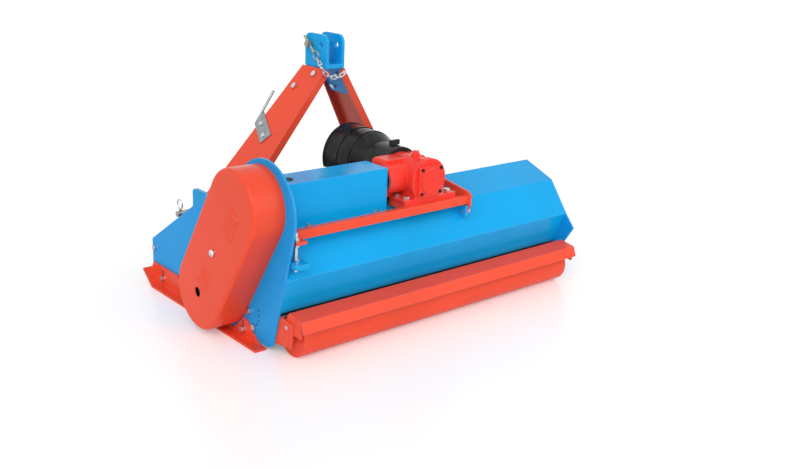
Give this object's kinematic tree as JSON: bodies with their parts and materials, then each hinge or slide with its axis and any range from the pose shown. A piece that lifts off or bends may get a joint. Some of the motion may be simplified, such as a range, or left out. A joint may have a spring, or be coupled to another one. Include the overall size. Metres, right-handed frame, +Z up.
{
  "type": "flail mower",
  "caption": "Three-point hitch flail mower: steel hood with belt-driven flail rotor, angle gearbox with shielded input shaft, A-frame mast, rear roller, skids and front flaps.",
  "frame": {"origin": "on the ground under the middle of the machine's bounding box", "axes": "+X to the machine's right, along the rotor; +Y forward to the tractor; +Z up"},
  "size_m": [1.311, 0.914, 0.806],
  "materials": {
    "blue_paint": "gloss powder coat",
    "blue_plate": "gloss powder coat",
    "skid_paint": "gloss powder coat",
    "mast_paint": "gloss powder coat",
    "guard_paint": "gloss powder coat",
    "gearbox_paint": "painted casting",
    "frame_paint": "gloss powder coat",
    "zinc": "zinc plated",
    "bright_steel": "machined",
    "grey_cast": "as cast",
    "dark_steel": "forged",
    "flap_rubber": "black painted steel",
    "belt_rubber": "matt",
    "black_plastic": "gloss moulded",
    "bush_brass": "plain"
  },
  "bodies": {
    "chassis": {"hood_shell": "blue_paint", "side_plate_left": "blue_plate", "side_plate_right": "blue_plate", "front_beam": "blue_plate", "hitch_brackets": "blue_paint", "mast_arm_left": "mast_paint", "mast_arm_right": "mast_paint", "top_link_clevis": "blue_paint", "top_link_pin": "zinc", "top_linch_pin": "zinc", "retaining_chain": "zinc", "driveline_hook": "zinc", "mast_bolts": "zinc", "lower_hitch_pins": "zinc", "gearbox_casing": "gearbox_paint", "gearbox_rear_cover": "gearbox_paint", "gearbox_bearings": "bright_steel", "gearbox_bolts": "zinc", "gearbox_cradle": "frame_paint", "cradle_adjuster": "zinc", "shaft_cover": "blue_paint", "pto_shield": "black_plastic", "shaft_bearing": "grey_cast", "v_belts": "belt_rubber", "belt_cover": "guard_paint", "cover_bolts": "zinc", "rotor_bearings": "grey_cast", "flap_rod": "zinc", "roller_bolts": "zinc", "skid_bolts": "zinc"},
    "input_train": {"input_shaft": "bright_steel", "crown_gear": "bright_steel"},
    "drive_train": {"output_shaft": "bright_steel", "pinion": "bright_steel", "drive_pulley": "grey_cast"},
    "rotor": {"rotor": "dark_steel", "driven_pulley": "grey_cast", "flail_bolts": "dark_steel"},
    "flap_set": {"front_flaps": "flap_rubber"},
    "roller_frame": {"roller_arms": "frame_paint", "roller_cover": "frame_paint", "roller_bushes": "bush_brass", "roller_cover_bolts": "zinc"},
    "roller": {"roller": "frame_paint"},
    "skid_left": {"skid_left": "skid_paint"},
    "skid_right": {"skid_right": "skid_paint"},
    "linch_pin_left": {"linch_pin_left": "zinc"},
    "linch_pin_right": {"linch_pin_right": "zinc"},
    "flail_01": {"flail_01": "dark_steel"},
    "flail_02": {"flail_02": "dark_steel"},
    "flail_03": {"flail_03": "dark_steel"},
    "flail_04": {"flail_04": "dark_steel"},
    "flail_05": {"flail_05": "dark_steel"},
    "flail_06": {"flail_06": "dark_steel"},
    "flail_07": {"flail_07": "dark_steel"},
    "flail_08": {"flail_08": "dark_steel"},
    "flail_09": {"flail_09": "dark_steel"},
    "flail_10": {"flail_10": "dark_steel"},
    "flail_11": {"flail_11": "dark_steel"},
    "flail_12": {"flail_12": "dark_steel"}
  },
  "joints": [
    {"name": "rotor_spin", "type": "hinge", "parent": "chassis", "child": "rotor", "pos_m": [0.0355, -0.088, 0.129], "axis": [1, 0, 0], "continuous": true},
    {"name": "drive_spin", "type": "hinge", "parent": "chassis", "child": "drive_train", "pos_m": [-0.2645, -0.282, 0.432], "axis": [1, 0, 0], "continuous": true},
    {"name": "input_spin", "type": "hinge", "parent": "chassis", "child": "input_train", "pos_m": [-0.0095, -0.223, 0.432], "axis": [0, 1, 0], "continuous": true},
    {"name": "flaps_swing", "type": "hinge", "parent": "chassis", "child": "flap_set", "pos_m": [0.0355, 0.361, 0.116], "axis": [1, 0, 0], "range_deg": [-60, 75]},
    {"name": "roller_height", "type": "hinge", "parent": "chassis", "child": "roller_frame", "pos_m": [0.0355, -0.209, 0.088], "axis": [1, 0, 0], "range_deg": [0, 8]},
    {"name": "roller_spin", "type": "hinge", "parent": "roller_frame", "child": "roller", "pos_m": [0.0355, -0.373, 0.06], "axis": [1, 0, 0], "continuous": true},
    {"name": "skid_left_height", "type": "slide", "parent": "chassis", "child": "skid_left", "axis": [0, 0, -1], "range_m": [0, 0.024]},
    {"name": "skid_right_height", "type": "slide", "parent": "chassis", "child": "skid_right", "axis": [0, 0, -1], "range_m": [0, 0.024]},
    {"name": "linch_left_pull", "type": "slide", "parent": "chassis", "child": "linch_pin_left", "axis": [0, 0, 1], "range_m": [0, 0.09]},
    {"name": "linch_right_pull", "type": "slide", "parent": "chassis", "child": "linch_pin_right", "axis": [0, 0, 1], "range_m": [0, 0.09]},
    {"name": "flail_01_swing", "type": "hinge", "parent": "rotor", "child": "flail_01", "pos_m": [-0.4795, -0.03426, 0.18274], "axis": [1, 0, 0], "range_deg": [0, 270]},
    {"name": "flail_02_swing", "type": "hinge", "parent": "rotor", "child": "flail_02", "pos_m": [-0.38586, -0.14174, 0.07526], "axis": [1, 0, 0], "range_deg": [-180, 90]},
    {"name": "flail_03_swing", "type": "hinge", "parent": "rotor", "child": "flail_03", "pos_m": [-0.29223, -0.14174, 0.18274], "axis": [1, 0, 0], "range_deg": [-270, 0]},
    {"name": "flail_04_swing", "type": "hinge", "parent": "rotor", "child": "flail_04", "pos_m": [-0.19859, -0.03426, 0.07526], "axis": [1, 0, 0], "range_deg": [-90, 180]},
    {"name": "flail_05_swing", "type": "hinge", "parent": "rotor", "child": "flail_05", "pos_m": [-0.10495, -0.03426, 0.18274], "axis": [1, 0, 0], "range_deg": [0, 270]},
    {"name": "flail_06_swing", "type": "hinge", "parent": "rotor", "child": "flail_06", "pos_m": [-0.01132, -0.14174, 0.07526], "axis": [1, 0, 0], "range_deg": [-180, 90]},
    {"name": "flail_07_swing", "type": "hinge", "parent": "rotor", "child": "flail_07", "pos_m": [0.08232, -0.14174, 0.18274], "axis": [1, 0, 0], "range_deg": [-270, 0]},
    {"name": "flail_08_swing", "type": "hinge", "parent": "rotor", "child": "flail_08", "pos_m": [0.17595, -0.03426, 0.07526], "axis": [1, 0, 0], "range_deg": [-90, 180]},
    {"name": "flail_09_swing", "type": "hinge", "parent": "rotor", "child": "flail_09", "pos_m": [0.26959, -0.03426, 0.18274], "axis": [1, 0, 0], "range_deg": [0, 270]},
    {"name": "flail_10_swing", "type": "hinge", "parent": "rotor", "child": "flail_10", "pos_m": [0.36323, -0.14174, 0.07526], "axis": [1, 0, 0], "range_deg": [-180, 90]},
    {"name": "flail_11_swing", "type": "hinge", "parent": "rotor", "child": "flail_11", "pos_m": [0.45686, -0.14174, 0.18274], "axis": [1, 0, 0], "range_deg": [-270, 0]},
    {"name": "flail_12_swing", "type": "hinge", "parent": "rotor", "child": "flail_12", "pos_m": [0.5505, -0.03426, 0.07526], "axis": [1, 0, 0], "range_deg": [-90, 180]}
  ],
  "couplings": [
    {"joint": "drive_spin", "follows": "rotor_spin", "ratio": 0.82456},
    {"joint": "input_spin", "follows": "rotor_spin", "ratio": 0.27485}
  ]
}
